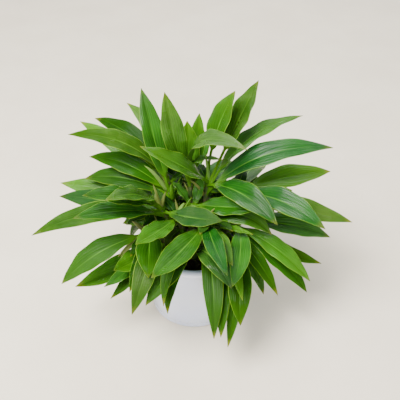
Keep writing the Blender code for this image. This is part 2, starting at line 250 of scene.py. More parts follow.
# %% Tubes into a piece
def build_piece(name, tubes, materials, replaced):
    """One object from a list of tubes, in place of the replaced nodes.

    A tube is a dictionary with its points, an array of rows x columns x 3, its uv of the same rows and
    columns, its material's number, and any other values that its points carry, each of rows x columns.
    """
    faces, numbers, first = [], [], 0
    for tube in tubes:
        rows, columns = tube["points"].shape[:2]
        made = ring_faces(rows, columns, first)
        made.append([first + i for i in range(columns)][::-1])
        made.append([first + (rows - 1) * columns + i for i in range(columns)])
        faces += made
        numbers += [tube.get("material", 0)] * len(made)
        first += rows * columns
    mesh = bpy.data.meshes.new(name)
    mesh.from_pydata(np.concatenate([tube["points"].reshape(-1, 3) for tube in tubes]), [], faces)
    for surface in materials:
        mesh.materials.append(surface)
    mesh.polygons.foreach_set("material_index", numbers)
    mesh.polygons.foreach_set("use_smooth", [True] * len(faces))
    for value in [key for key in tubes[0] if key not in ("points", "uv", "material")]:
        carried = np.concatenate([tube[value].ravel() for tube in tubes])
        mesh.attributes.new(value, "FLOAT", "POINT").data.foreach_set("value", carried.astype(np.float32))
    corners = np.empty(len(mesh.loops), dtype=np.int32)
    mesh.loops.foreach_get("vertex_index", corners)
    uv = np.concatenate([tube["uv"].reshape(-1, 2) for tube in tubes])[corners]
    mesh.uv_layers.new(name="surface").data.foreach_set("uv", uv.ravel())
    mesh.update()
    piece = bpy.data.objects.new(name, mesh)
    bpy.context.scene.collection.objects.link(piece)
    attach(piece, "root")
    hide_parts(*replaced)
    return piece


print("helper for pieces: build_piece")

# %% [markdown]
# ## The pot
#
# The pot is a plain planter whose wall leans out a little. Its sizes are the plain model's. The groove above
# its foot band catches a thin line of light, and is given as depths into the wall and heights above the band.

# %% Pot sizes
MM = 0.001
POT_HEIGHT = 0.090
POT_BASE_RADIUS = 0.050
POT_NECK_RADIUS = 0.0525
POT_WALL = 0.003
POT_FLOOR = 0.004
LIP_RADIUS = 0.054
LIP_HEIGHT = 0.008
FOOT_HEIGHT = 0.005
FOOT_ROUND = 0.0015
FOOT_WIDTH = 0.006
FLOOR_ROUND = 0.003
BELOW_LIP = 0.001
INSIDE_TOP = POT_HEIGHT - 0.003
GROOVE_DEPTH = 0.0006
GROOVE_EDGE_DEPTH = 0.0002
GROOVE = (
    (0, -0.0009),
    (GROOVE_EDGE_DEPTH, -0.0003),
    (GROOVE_DEPTH, 0),
    (GROOVE_DEPTH, 0.0007),
    (GROOVE_EDGE_DEPTH, 0.0014),
    (0, 0.0020),
)


def inner_radius(height):
    """The inner wall leans out evenly from the floor to the mouth."""
    share = (height - POT_FLOOR) / (POT_HEIGHT - POT_FLOOR)
    low, high = POT_BASE_RADIUS - POT_WALL, POT_NECK_RADIUS - POT_WALL
    return low + (high - low) * share


print("the mouth is", round(2 * inner_radius(POT_HEIGHT) / MM), "mm wide inside")

# %% [markdown]
# The pot is turned, so its surface is one profile carried round the upright axis. A Screw modifier could
# carry it round too, but the formula also gives each point its uv. The profile starts under the base, runs
# out over the foot, up the wall, over the rolled lip and down the inside to the floor. Each round stretch is
# an arc, given by its first and last angle in degrees and its number of points.

# %% Pot profile
POT_SIDES = 128
POLE_RADIUS = 0.0002
FOOT_ARC = (-90, 0, 9)
LIP_ARC = (-62, 118, 20)
FLOOR_ARC = (0, -90, 7)
OUTSIDE_POINTS = 24
INSIDE_POINTS = 12


def arc(centre, radius, start, end, count):
    """Points on a circle in the profile plane, from one angle in degrees to another."""
    angle = np.radians(np.linspace(start, end, count))
    return np.stack([centre[0] + radius * np.cos(angle), centre[1] + radius * np.sin(angle)], axis=1)


def pot_profile():
    """The radius and height of each point, from the middle of the base to the middle of the inner floor."""
    lip_round = LIP_HEIGHT / 2
    floor_edge = inner_radius(POT_FLOOR + FLOOR_ROUND) - FLOOR_ROUND
    groove = [(POT_BASE_RADIUS - depth, FOOT_HEIGHT + above) for depth, above in GROOVE]
    wall_top = (POT_NECK_RADIUS, POT_HEIGHT - LIP_HEIGHT - BELOW_LIP)
    outside = np.linspace(groove[-1], wall_top, OUTSIDE_POINTS)
    inside = np.linspace(INSIDE_TOP, POT_FLOOR + FLOOR_ROUND, INSIDE_POINTS)
    return np.concatenate([
        [(POLE_RADIUS, 0.0), (POT_BASE_RADIUS - FOOT_WIDTH, 0.0)],
        arc((POT_BASE_RADIUS - FOOT_ROUND, FOOT_ROUND), FOOT_ROUND, *FOOT_ARC),
        groove[:-1],
        outside,
        arc((LIP_RADIUS - lip_round, POT_HEIGHT - lip_round), lip_round, *LIP_ARC),
        np.stack([inner_radius(inside), inside], axis=1),
        arc((floor_edge, POT_FLOOR + FLOOR_ROUND), FLOOR_ROUND, *FLOOR_ARC),
        [(POLE_RADIUS, POT_FLOOR)],
    ])


def turn_profile(profile, sides):
    """Each profile point becomes a ring: (radius cos a, radius sin a, height) for a full turn of a."""
    angle = full_turn(sides)
    radius, height = profile[:, :1], profile[:, 1:]
    points = np.stack([radius * np.cos(angle), radius * np.sin(angle), height + 0 * angle], axis=-1)
    return {"points": points, "uv": ring_uv(angle, height / POT_HEIGHT)}


print("points in the pot's profile:", len(pot_profile()))

# %% [markdown]
# The pot's finish is a cool white gloss. One even colour would look like a computer's pot, so a faint mottle
# changes its colour and its gloss, an orange-peel ripple breaks up the reflections, and a little dust has
# settled low on the wall. A clear coat gives the sharp highlights of a glaze.

# %% Glossy white finish
COOL_WHITES = ((0.71, 0.77, 1.00), (0.76, 0.82, 1.00))
DUST = (0.52, 0.48, 0.43)
DUST_TOP = 0.02


def white_gloss():
    """Two cool whites in clouds, with dust that fades out up to its top and comes in specks.

    The roughness is 0.16 + 0.06 x clouds + 0.8 x dust.
    """
    made, tree, shader = new_material("white gloss")
    place = add_node(tree, "ShaderNodeTexCoord").outputs["Object"]
    height = add_node(tree, "ShaderNodeSeparateXYZ", {0: place}).outputs["Z"]
    clouds = mottle(tree, 35.0, 4.0)
    white = blend_colours(tree, clouds, *COOL_WHITES)
    low = calculate(tree, "SUBTRACT", 1.0, rise(tree, height, 0.0, DUST_TOP))
    dust = calculate(tree, "MULTIPLY", calculate(tree, "MULTIPLY", low, mottle(tree, 260.0, 5.0)), 0.35)
    tree.links.new(blend_colours(tree, dust, white, DUST), shader.inputs["Base Color"])
    gloss = calculate(tree, "MULTIPLY_ADD", clouds, 0.06, 0.16)
    tree.links.new(calculate(tree, "MULTIPLY_ADD", dust, 0.8, gloss), shader.inputs["Roughness"])
    raise_bumps(tree, shader, place_group(tree, GRAIN, Scale=240.0)["Height"], 0.05, 0.0004)
    shader.inputs["Coat Weight"].default_value = 0.4
    shader.inputs["Coat Roughness"].default_value = 0.08
    return made


pot_tube = turn_profile(pot_profile(), POT_SIDES)
pot = build_piece("glossy_pot", [pot_tube], [white_gloss()], ["pot"])
print("pot:", len(pot.data.polygons), "faces")

# %% [markdown]
# ## The potting mix
#
# The mix is a low heap of dark crumbs. Its body is turned like the pot, and a sum of waves in several
# directions roughens the top. A Displace modifier with a noise could do that as well, but here the waves can
# fade out at the rim, where the mix must stay clear of the pot.

# %% The heap
GAP = 0.0003
SOIL_EDGE_HEIGHT = 0.078
SOIL_DOME = 0.005
SOIL_FOOT_HEIGHT = POT_FLOOR + 0.004
SOIL_FOOT_WIDTH = 0.003
SOIL_POLE_RADIUS = 0.0003
SOIL_ROWS = 70
SOIL_SIDES = 160
BUMP_HEIGHT = 0.0011
BUMP_SIZE = 0.012
BUMP_START = 0.002
OCTAVES = 4
WAVES_EACH = 5
BUMP_SEED = 3
ANY_PHASE = (0, 6.28)


def soil_height(radius):
    """The mix is heaped a little in the middle, as a flat parabola."""
    edge = inner_radius(SOIL_EDGE_HEIGHT) - GAP
    return SOIL_EDGE_HEIGHT + SOIL_DOME * (1 - (radius / edge) ** 2)


def roughness_of(points, size, seed):
    """A bumpy value for each point: waves of several lengths and headings, added up."""
    draw = np.random.default_rng(seed)
    total = np.zeros(points.shape[:-1])
    for octave in range(1, OCTAVES + 1):
        heading = draw.normal(size=(WAVES_EACH, 3))
        heading /= np.linalg.norm(heading, axis=1, keepdims=True)
        phase = draw.uniform(*ANY_PHASE, WAVES_EACH)
        waves = np.sin(points @ heading.T * (2 * np.pi * octave / size) + phase)
        total += waves.sum(axis=-1) / (WAVES_EACH * octave)
    return total


def soil_body():
    """The turned heap, whose top is lifted and sunk by a bumpy value of about a millimetre."""
    edge = inner_radius(SOIL_EDGE_HEIGHT) - GAP
    foot = inner_radius(SOIL_FOOT_HEIGHT) - 2 * GAP
    bottom = POT_FLOOR + GAP
    radius = np.linspace(edge, SOIL_POLE_RADIUS, SOIL_ROWS)
    heap = np.stack([radius, soil_height(radius)], axis=1)
    base = [(SOIL_POLE_RADIUS, bottom), (foot - SOIL_FOOT_WIDTH, bottom), (foot, SOIL_FOOT_HEIGHT)]
    tube = turn_profile(np.concatenate([base, heap]), SOIL_SIDES)
    top = tube["points"][len(base):]
    share = np.clip((radius.max() - radius) / BUMP_START, 0, 1)[:, None]
    top[..., 2] += BUMP_HEIGHT * share * roughness_of(top, BUMP_SIZE, BUMP_SEED)
    return tube


print("the mix stands", round(soil_height(0) / MM, 1), "mm high in its middle")

# %% [markdown]
# Loose crumbs lie over the heap, each a small dented lump of a few dozen faces. They could be instances of
# one lump, but then every crumb would look alike.

# %% Crumbs
CRUMBS = 420
CRUMB_SEED = 11
CRUMB_SIZES = (0.0008, 0.0026)
CRUMB_RISE = 0.0006
CRUMB_MARGIN = 0.002
CRUMB_ROWS = 4
CRUMB_COLUMNS = 6
CRUMB_POLE = 0.2
CRUMB_DENTS = (0.75, 1.2)
CRUMB_SQUASH = (0.5, 1.0)
WHITE_SHARE = 0.06


def crumb(centre, size, draw):
    """A lump: each point is a sphere's, times its own dent, times the size and a squash for each axis."""
    polar = np.linspace(CRUMB_POLE, np.pi - CRUMB_POLE, CRUMB_ROWS)[::-1, None]
    around = full_turn(CRUMB_COLUMNS)
    flat, height = np.sin(polar), np.cos(polar)
    lump = np.stack([flat * np.cos(around), flat * np.sin(around), height + 0 * around], axis=-1)
    dents = draw.uniform(*CRUMB_DENTS, lump.shape[:2])[..., None]
    lump = lump * dents * size * draw.uniform(*CRUMB_SQUASH, 3)
    uv = np.zeros((*lump.shape[:2], 2))
    return {"points": lump + centre, "uv": uv, "material": int(draw.uniform() < WHITE_SHARE)}


def scatter_crumbs():
    """Crumbs over the heap, evenly by area: the radius is the square root of an even draw."""
    draw = np.random.default_rng(CRUMB_SEED)
    reach = inner_radius(SOIL_EDGE_HEIGHT) - CRUMB_MARGIN
    made = []
    for share, turn in draw.uniform(size=(CRUMBS, 2)):
        radius = reach * math.sqrt(share)
        angle = 2 * math.pi * turn
        centre = (radius * math.cos(angle), radius * math.sin(angle), soil_height(radius) + CRUMB_RISE)
        made.append(crumb(np.array(centre), draw.uniform(*CRUMB_SIZES), draw))
    return made


print("points in a crumb:", CRUMB_ROWS * CRUMB_COLUMNS)

# %% [markdown]
# Moist mix is nearly black and quite matte, with paler grains in it. A few of the crumbs are white ones, as
# growers add them to keep the mix airy. The crumbs are real shapes, so the finish needs only small bumps.

# %% Potting mix finish
DAMP_BROWNS = ((0.012, 0.008, 0.005), (0.050, 0.032, 0.018))
DRY_FIBRE = (0.16, 0.11, 0.06)
MINERAL_WHITES = ((0.42, 0.40, 0.36), (0.72, 0.70, 0.66))


def dark_mix():
    """Two browns in clumps, with a paler fibre where a finer mottle is near its top.

    The roughness is 0.95 - 0.2 x clumps, so the paler clumps are the smoother ones.
    """
    made, tree, shader = new_material("moist potting mix")
    clumps = mottle(tree, 180.0, 5.0)
    fibres = mottle(tree, 900.0, 3.0)
    brown = blend_colours(tree, clumps, *DAMP_BROWNS)
    pale = calculate(tree, "MULTIPLY", rise(tree, fibres, 0.75, 1.0), 0.3)
    tree.links.new(blend_colours(tree, pale, brown, DRY_FIBRE), shader.inputs["Base Color"])
    tree.links.new(calculate(tree, "MULTIPLY_ADD", clumps, -0.2, 0.95), shader.inputs["Roughness"])
    raise_bumps(tree, shader, fibres, 0.7, 0.001)
    return made


def white_grain():
    """Two whites in the pits of a very fine mottle, without any gloss."""
    made, tree, shader = new_material("white grains")
    colour = blend_colours(tree, mottle(tree, 1400.0, 2.0), *MINERAL_WHITES)
    tree.links.new(colour, shader.inputs["Base Color"])
    shader.inputs["Roughness"].default_value = 0.9
    return made


mix_finishes = [dark_mix(), white_grain()]
soil = build_piece("potting_mix", [soil_body(), *scatter_crumbs()], mix_finishes, ["soil"])
print("potting mix:", len(soil.data.polygons), "faces")

# %% [markdown]
# ## The table of leaves
#
# This is the plan of the plant, in millimetres. A stem gives the place of its crown. Each leaf gives its
# tip, its width, how high it arches, how far it bows to its left, how far its face turns to the light at the
# front, in degrees, and the share of its length that is stalk. The youngest leaf of a stem comes first. A
# fan adds leaves at the back of a stem by a rule with a little seeded chance: how many, their middle heading
# and its spread to each side, their middle rise, and their reach.
#
# The last word of a leaf is its look. A plant has leaves of many ages: young ones are yellow-green, old ones
# are deep green, and the lowest have yellow or brown tips. Some looks are bluish, partly the leaf's tint and
# partly a painted sheen of the sky, and the darkest are partly painted shade on leaves that hang low, sit at
# the back and fill the middle.

# %% Stems and leaves
PETIOLE_SHARE = 0.12

Stem = namedtuple("Stem", "name crown leaves fan", defaults=(None,))
Leaf = namedtuple("Leaf", "tip width arch bow turn stalk look", defaults=(0, 25, PETIOLE_SHARE, "green"))
Fan = namedtuple("Fan", "count heading spread rise reach")

STEMS = (
    Stem("stem_middle", (-4, 36, 150), (
        Leaf((55, -5, 215), 25, 31, look="pale"),
        Leaf((32, 29, 180), 12, 24, 0, 0, look="worn"),
        Leaf((-29, 33, 260), 26, -3, 1, 65, 0.25, look="fresh"),
        Leaf((-7, 44, 220), 25, 4, 0, 0, 0.25, look="golden"),
        Leaf((6, 43, 230), 20, 4, 0, 0, 0.3, look="fresh"),
    )),
    Stem("stem_back_right", (16, 32, 150), (
        Leaf((-55, 10, 210), 26, 14, 12, look="olive"),
        Leaf((85, -50, 155), 30, 14, look="sheen"),
        Leaf((69, 70, 254), 30, 12, -3, 0, 0.38, look="matt"),
        Leaf((43, 45, 255), 29, 11, 6, 0, 0.42, look="olive"),
        Leaf((149, 30, 195), 29, 22, look="blue"),
        Leaf((120, 70, 211), 25, 32, 0, 0, 0.25),
    ), Fan(2, 60, 25, -38, 100)),
    Stem("stem_left_front", (-38, 0, 140), (
        Leaf((-105, -60, 200), 28, 4),
        Leaf((-85, -55, 190), 24, 4),
        Leaf((30, -38, 150), 26, -2, look="teal"),
        Leaf((-115, -70, 180), 26, 6),
        Leaf((-165, -50, 141), 25, 17, look="matt"),
        Leaf((-155, 40, 122), 29, 7, look="teal"),
    )),
    Stem("stem_left", (-28, 28, 140), (
        Leaf((-57, 79, 240), 27, 8, 4, 0, 0.16),
        Leaf((-120, 65, 160), 26, 14, look="matt"),
        Leaf((-125, 50, 140), 28, 20, look="old"),
        Leaf((-150, 35, 145), 30, 7, look="fresh"),
        Leaf((-80, 8, 108), 26, 6),
    ), Fan(1, 150, 20, -30, 90)),
    Stem("stem_back_left", (-32, 48, 145), (
        Leaf((-136, 47, 201), 24, 19, look="matt"),
        Leaf((-103, 122, 178), 26, 7, look="old"),
        Leaf((-79, 118, 200), 18, 18, look="worn"),
        Leaf((-118, 115, 181), 26, 14, look="old"),
        Leaf((-134, 106, 182), 26, 14, look="golden"),
    ), Fan(2, 120, 20, -25, 105)),
    Stem("stem_centre", (-18, -4, 128), (
        Leaf((-55, -85, 160), 24, 6, look="fresh"),
    )),
    Stem("stem_inner", (-2, 8, 136), (
        Leaf((67, -30, 158), 25, 8, look="sheen"),
        Leaf((-24, 18, 160), 12, 2, 0, 0, 0.2),
        Leaf((8, 24, 164), 12, 2, 0, 0, 0.2),
    )),
    Stem("stem_front", (16, -12, 130), (
        Leaf((-40, -105, 135), 28, 3),
        Leaf((33, -107, 140), 20, 8, -4, look="blue"),
        Leaf((62, -42, 135), 7, 3, look="fresh"),
        Leaf((84, -25, 120), 24, 8, look="olive"),
        Leaf((39, -83, 130), 20, 8),
        Leaf((21, -117, 60), 22, 12, 3, look="hanging"),
        Leaf((28, -115, 60), 23, 12, 6, look="hanging"),
    )),
    Stem("stem_low_left", (-50, -22, 120), (
        Leaf((-141, -59, 80), 28, 12, look="matt"),
        Leaf((-45, -85, 115), 28, 8, look="matt"),
        Leaf((-65, -85, 95), 15, 6, look="hanging"),
        Leaf((-62, -104, 82), 24, 12, 6, look="hanging"),
        Leaf((-82, -69, 110), 26, -1, look="fresh"),
        Leaf((-93, -73, 90), 17, 2),
        Leaf((-86, -82, 82), 16, 4, look="old"),
        Leaf((-126, -63, 80), 27, -4, look="golden"),
    )),
    Stem("stem_right_back", (50, 28, 140), (
        Leaf((155, 50, 150), 29, 5, look="golden"),
        Leaf((135, -45, 145), 30, 14, look="blue"),
        Leaf((172, -10, 125), 27, 10, look="hanging"),
        Leaf((112, 38, 132), 24, 8, look="fresh"),
    ), Fan(3, 60, 40, -25, 105)),
    Stem("stem_right", (50, -6, 124), (
        Leaf((38, -107, 125), 22, 8, 5),
        Leaf((155, 5, 90), 28, 9),
        Leaf((125, -55, 80), 22, 10, look="fresh"),
        Leaf((124, -52, 60), 24, 11, look="matt"),
        Leaf((90, -66, 70), 16, 9, -5, look="hanging"),
        Leaf((144, -17, 70), 20, -2, look="hanging"),
        Leaf((76, -55, 60), 17, 4, look="hanging"),
        Leaf((49, -103, 102), 14, 5, look="fresh"),
    )),
    Stem("stem_front_right", (54, -36, 104), (
        Leaf((48, -108, 70), 25, 9, -2, look="hanging"),
        Leaf((35, -121, 52), 15, 12, 2, look="hanging"),
    )),
    Stem("stem_front_left", (0, -32, 106), (
        Leaf((38, -95, 110), 25, 8, look="blue"),
        Leaf((-48, -98, 89), 24, 9, 1, look="old"),
        Leaf((-30, -100, 90), 14, 12, -7, look="hanging"),
        Leaf((-26, -100, 79), 16, 14, -8, look="hanging"),
    )),
    # The old leaves of the two back stems hang behind and inside the plant, and their dark look is partly
    # painted shade.
    Stem("stem_back", (-4, 62, 124), (
        Leaf((10, 150, 144), 31, 12),
        Leaf((-78, 100, 125), 30, 10, look="old"),
        Leaf((70, 125, 100), 30, 12),
        Leaf((-22, 92, 35), 28, 16, look="old"),
        Leaf((-60, 80, 45), 30, 14, look="old"),
        Leaf((-80, 50, 48), 30, 3, look="old"),
        Leaf((-95, 66, 112), 30, 8, look="old"),
        Leaf((-40, 150, 95), 28, 14, look="hanging"),
        Leaf((-92, 55, 98), 30, 6),
        Leaf((15, 95, 30), 28, 16, look="old"),
    )),
    Stem("stem_low_back", (34, 58, 116), (
        Leaf((92, 66, 108), 30, 8, look="olive"),
        Leaf((50, 84, 42), 30, 14, look="old"),
        Leaf((80, 58, 45), 30, 12, look="old"),
        Leaf((106, 48, 66), 30, 10, look="old"),
        Leaf((30, 155, 75), 28, 14, look="hanging"),
        Leaf((80, 125, 80), 28, 14, look="hanging"),
    )),
)
print("stems:", len(STEMS), "listed leaves:", sum(len(stem.leaves) for stem in STEMS))

# %% [markdown]
# ## Where each leaf grows
#
# A stem goes straight down into the mix and leans out to its crown along a quadratic curve. Leaf after leaf
# sits a little lower on it. A curve object could hold that line, but the leaves need points on it, and a
# formula gives any of them.

# %% Lines of stems
STEM_COLLAR = 0.006
STEM_SPREAD = 0.60
INTERNODE = 0.0036


def quadratic(start, middle, end, t):
    """Points on a quadratic curve: start (1 - t)^2 + middle 2 t (1 - t) + end t^2."""
    return start * (1 - t) ** 2 + middle * 2 * t * (1 - t) + end * t**2


def stem_curve(stem, t):
    """Points on the stem's leaning part, for an array t from 0 at its collar to 1 at its crown.

    The curve's middle is straight above the collar, half way up to the crown.
    """
    base = np.array(stem.crown[:2]) * MM * STEM_SPREAD
    collar = np.array((*base, soil_height(np.linalg.norm(base)) + STEM_COLLAR))
    crown = np.array(stem.crown) * MM
    bend = np.array((*base, (collar[2] + crown[2]) / 2))
    return quadratic(collar, bend, crown, np.asarray(t, dtype=float)[:, None])


def stem_at(stem, below):
    """The point on a stem's line this far below its crown. Below its collar the line goes straight down."""
    line = stem_curve(stem, (1, 0.75, 0.5, 0.25, 0))
    for upper, lower in zip(line, line[1:]):
        step = np.linalg.norm(upper - lower)
        if below <= step:
            return upper + (lower - upper) * below / step
        below -= step
    return line[-1] - np.array((0, 0, below))


print("the tallest crown is", max(stem.crown[2] for stem in STEMS), "mm up")

# %% [markdown]
# The midrib of a leaf is a quadratic curve too, from its root on the stem to its tip. Its middle stands off
# the straight line by the arch, and to one side by the bow. The plain model uses the same formulas, so the
# fine leaves lie where the plain ones do.

# %% Lines of leaves
TURNED_AT = 0.5


def unit(vectors):
    """The same headings, each divided by its length."""
    return vectors / np.linalg.norm(vectors, axis=-1, keepdims=True)


def leaf_line(root, tip, leaf, lift, u):
    """The midrib's points for u from 0 to 1, with the headings to the leaf's left side and to its face.

    The curve's middle stands off by twice the arch and twice the bow, because the line passes half way to it.
    The two headings turn about the line by turn x u / 0.5 x the side heading's Y, and no more past u = 0.5.
    """
    chord = tip - root
    heading = unit(np.array((chord[0], chord[1], 0.0)))
    across = np.array((-heading[1], heading[0], 0.0))
    over = unit(np.cross(chord, across))
    arch = leaf.arch * MM + lift
    middle = (root + tip) / 2 + 2 * arch * over + 2 * leaf.bow * MM * across
    u = u[:, None]
    line = quadratic(root, middle, tip, u)
    along = unit((middle - root) * (1 - u) + (tip - middle) * u)
    across = unit(across - (along @ across)[:, None] * along)
    over = np.cross(along, across)
    turn = math.radians(leaf.turn) * across[:, 1:2] * np.clip(u / TURNED_AT, 0, 1)
    side = across * np.cos(turn) + over * np.sin(turn)
    face = over * np.cos(turn) - across * np.sin(turn)
    return line, side, face


example_tip = np.array((1.0, 0.0, 0.0))
example = leaf_line(0 * example_tip, example_tip, Leaf((0, 0, 0), 25, 100), 0, np.array((0.5,)))[0]
print("a 1 m leaf with an arch of 100 mm stands", round(example[0, 2] / MM), "mm off its straight line")

# %% [markdown]
# The leaves at the back come from the fans. Round many real stems each next leaf turns by the golden share
# of a turn, which keeps it out of the shade of the last ones, and a fan does the same within its spread. A
# list could give them too, but a rule with the plain model's seed finds the same leaves in a few lines.

# %% Fans
SEED = 7
GOLDEN = 0.618
FAN_FALL = 20
FAN_HEADING_CHANCE = 6
FAN_RISE_CHANCE = 4
FAN_REACH_CHANCE = 6
FAN_WIDTHS = (27, 31)
FAN_ARCH = 14
BOW = 5


def give_or_take(draw, most):
    """An even draw between -most and most."""
    return draw.uniform(-most, most)


def pointing(heading, rising):
    """A step of length 1 for heading h and rise r above the level: (cos r cos h, cos r sin h, sin r)."""
    flat = math.cos(rising)
    return np.array((flat * math.cos(heading), flat * math.sin(heading), math.sin(rising)))


def fan_leaves(stem, draw):
    """The fan's leaves turn about the stem by the golden share of its spread; the lower ones fall more."""
    made = []
    fan = stem.fan or Fan(0, 0, 0, 0, 0)
    for i in range(fan.count):
        around = 2 * (GOLDEN * (i + 1) % 1) - 1
        down = 2 * (i + 0.5) / fan.count - 1
        heading = math.radians(fan.heading + fan.spread * around + give_or_take(draw, FAN_HEADING_CHANCE))
        rising = math.radians(fan.rise - FAN_FALL * down + give_or_take(draw, FAN_RISE_CHANCE))
        reach = fan.reach + give_or_take(draw, FAN_REACH_CHANCE)
        tip = tuple(np.array(stem.crown) + reach * pointing(heading, rising))
        width = draw.uniform(*FAN_WIDTHS)
        made.append(Leaf(tip, width, FAN_ARCH, give_or_take(draw, BOW), look="fresh"))
    return made


print("leaves in the fans:", sum(stem.fan.count for stem in STEMS if stem.fan))

# %% [markdown]
# Where two leaves would have met, the plain model bends one of them towards the viewer or away, or changes
# its arch. The fine leaf must follow. The bends could be listed, but a list goes wrong with each change of
# the plain model, so they are looked up: each possible bend is tried, and the one whose midrib passes through
# the plain leaf's corners is taken. A leaf that matches none was left out there.

# %% Look up each leaf's bend
BEND_STEP = 0.005
BENDS = 10
LIFTS = (0.0, 0.007, -0.007, 0.014)
VIEWER = np.array((0.0, -0.54, 0.57))
CORNER_STATIONS = np.array((0.28, 0.46, 0.64, 0.82, 1.0))
NEAR = 0.0012


def plain_corners(name):
    """The corner points of a plain node."""
    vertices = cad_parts[name].data.vertices
    corners = np.empty(len(vertices) * 3)
    vertices.foreach_get("co", corners)
    return corners.reshape(-1, 3)


def find_bend(root, leaf, corners):
    """The best midrib's mean distance from its stations to the nearest plain corners, its tip and lift."""
    wanted = np.array(leaf.tip) * MM
    sight = unit(VIEWER - wanted)
    u = leaf.stalk + (1 - leaf.stalk) * CORNER_STATIONS
    best = (math.inf, wanted, 0.0)
    for step in range(-BENDS, BENDS + 1):
        tip = wanted + sight * BEND_STEP * step
        for lift in LIFTS:
            line = leaf_line(root, tip, leaf, lift, u)[0]
            miss = np.linalg.norm(line[:, None] - corners[None], axis=-1).min(axis=1).mean()
            if miss < best[0]:
                best = (miss, tip, lift)
    return best


def find_leaves():
    """For each stem, the root, tip, lift and table line of every leaf that the plain model has."""
    draw = random.Random(SEED)
    listed = [(stem, leaf) for stem in STEMS for leaf in stem.leaves]
    hidden = [(stem, leaf) for stem in STEMS[::-1] for leaf in fan_leaves(stem, draw)]
    corners = {stem.name: plain_corners(stem.name) for stem in STEMS}
    found = {stem.name: [] for stem in STEMS}
    for stem, leaf in listed + hidden:
        root = stem_at(stem, INTERNODE * (len(found[stem.name]) + 0.5))
        miss, tip, lift = find_bend(root, leaf, corners[stem.name])
        if miss < NEAR:
            found[stem.name].append((root, tip, lift, leaf))
        else:
            print(stem.name, "has no plain leaf to", np.round(leaf.tip), "off by", round(miss / MM, 1), "mm")
    return found


LEAVES = find_leaves()
print("leaves found:", sum(len(leaves) for leaves in LEAVES.values()))

# %% [markdown]
# ## The shape of a leaf
#
# Seen flat, a blade opens fast, is widest a little before its middle, and tapers to a long point. Its outline
# could be drawn by hand as a curve, but one formula with two powers gives it for any width.

# %% Outline of a blade
WIDEST = 0.45
TIP_TAPER = 1.05


def blade_half_width(v, width):
    """width/2 x (v/W)^a x ((1-v)/(1-W))^b, which is widest at v = W: it opens fast and ends in a point."""
    opening = TIP_TAPER * WIDEST / (1 - WIDEST)
    return width / 2 * (v / WIDEST) ** opening * ((1 - v) / (1 - WIDEST)) ** TIP_TAPER


print("a 25 mm blade is", round(2 * blade_half_width(0.9, 25), 1), "mm wide at nine tenths of its length")

# %% [markdown]
# A leaf is a row of closed rings, like the pot. Near the root a ring is round: that is the stalk, which
# widens where it clasps the stem. Further on the ring flattens into the blade, which folds upward along its
# midrib. Each half puffs up between midrib and margin, and the margin itself waves. The midrib is a groove on
# the face and a ridge on the back. One leaf could be sculpted and copied, but eighty copies would all bend
# alike: the formula gives each its own width, arch and waves.

# %% Leaf surface
ROWS = 64
COLUMNS = 36
PETIOLE_RADIUS = 0.0016
SHEATH = 0.0011
SHEATH_SHARE = 0.05
OPENING_RATE = 6
BLADE_THICKNESS = 0.00045
TIP_HALF_WIDTH = 0.00025
FOLD = math.radians(20)
FOLD_ROUND = 0.1
TIP_UNFOLDS = 0.5
PUFF = 0.10
MARGIN_WAVE = 0.0011
WAVES = 3.0
WAVES_CHANCE = (0.8, 1.3)
MIDRIB_RIDGE = 0.0010
MIDRIB_GROOVE = 0.00035
MIDRIB_WIDTH = 0.0011
MIDRIB_FADE = 0.6
BACK_SHARPNESS = 6


def leaf_tube(root, tip, lift, leaf, draw, rows=ROWS, columns=COLUMNS):
    """The rings of one leaf: each point is the midrib's + side x width + face x height.

    Round a ring the width is half the blade's times cos a, and the height adds up the fold, the puff, the
    waves, the thickness times sin a, and the midrib. The uv runs across the blade and along it to the tip.
    """
    u = np.linspace(0, 1, rows)
    line, side, face = leaf_line(root, tip, leaf, lift, u)
    v = np.clip((u - leaf.stalk) / (1 - leaf.stalk), 0, 1)[:, None]
    opened = np.clip(v * OPENING_RATE, 0, 1)
    opened = opened**2 * (3 - 2 * opened)
    around = full_turn(columns)
    across, out = np.cos(around), np.sin(around)
    off = np.abs(across)
    stalk = PETIOLE_RADIUS + SHEATH * np.exp(-u / SHEATH_SHARE)[:, None]
    half = stalk * (1 - opened) + TIP_HALF_WIDTH * opened + blade_half_width(v, leaf.width * MM)
    fold = FOLD * opened * (1 - TIP_UNFOLDS * v)
    height = half * np.sin(fold) * (np.hypot(off, FOLD_ROUND) - FOLD_ROUND)
    height = height + PUFF * half * opened * 4 * off * (1 - off)
    phase = np.where(across > 0, draw.uniform(*ANY_PHASE), draw.uniform(*ANY_PHASE))
    turns = 2 * np.pi * WAVES * v * draw.uniform(*WAVES_CHANCE)
    height = height + MARGIN_WAVE * opened * np.sin(turns + phase) * off**2 * np.sin(np.pi * v)
    width = across * half * np.cos(fold)
    midrib = np.exp(-((width / MIDRIB_WIDTH) ** 2)) * opened * (1 - v) ** MIDRIB_FADE
    thick = out * (stalk * (1 - opened) + BLADE_THICKNESS / 2 * opened)
    height = height + thick - midrib * np.where(out < 0, MIDRIB_RIDGE * -out, MIDRIB_GROOVE * out)
    points = line[:, None] + side[:, None] * width[..., None] + face[:, None] * height[..., None]
    uv = np.stack([0.5 + across / 2 + 0 * v, v + 0 * across], axis=-1)
    stalky = (1 - opened) + 0 * across
    under = np.clip(0.5 - out * BACK_SHARPNESS, 0, 1) + 0 * v
    return {"points": points, "uv": uv, "stalky": stalky, "under": under}


print("points in a leaf:", ROWS * COLUMNS)
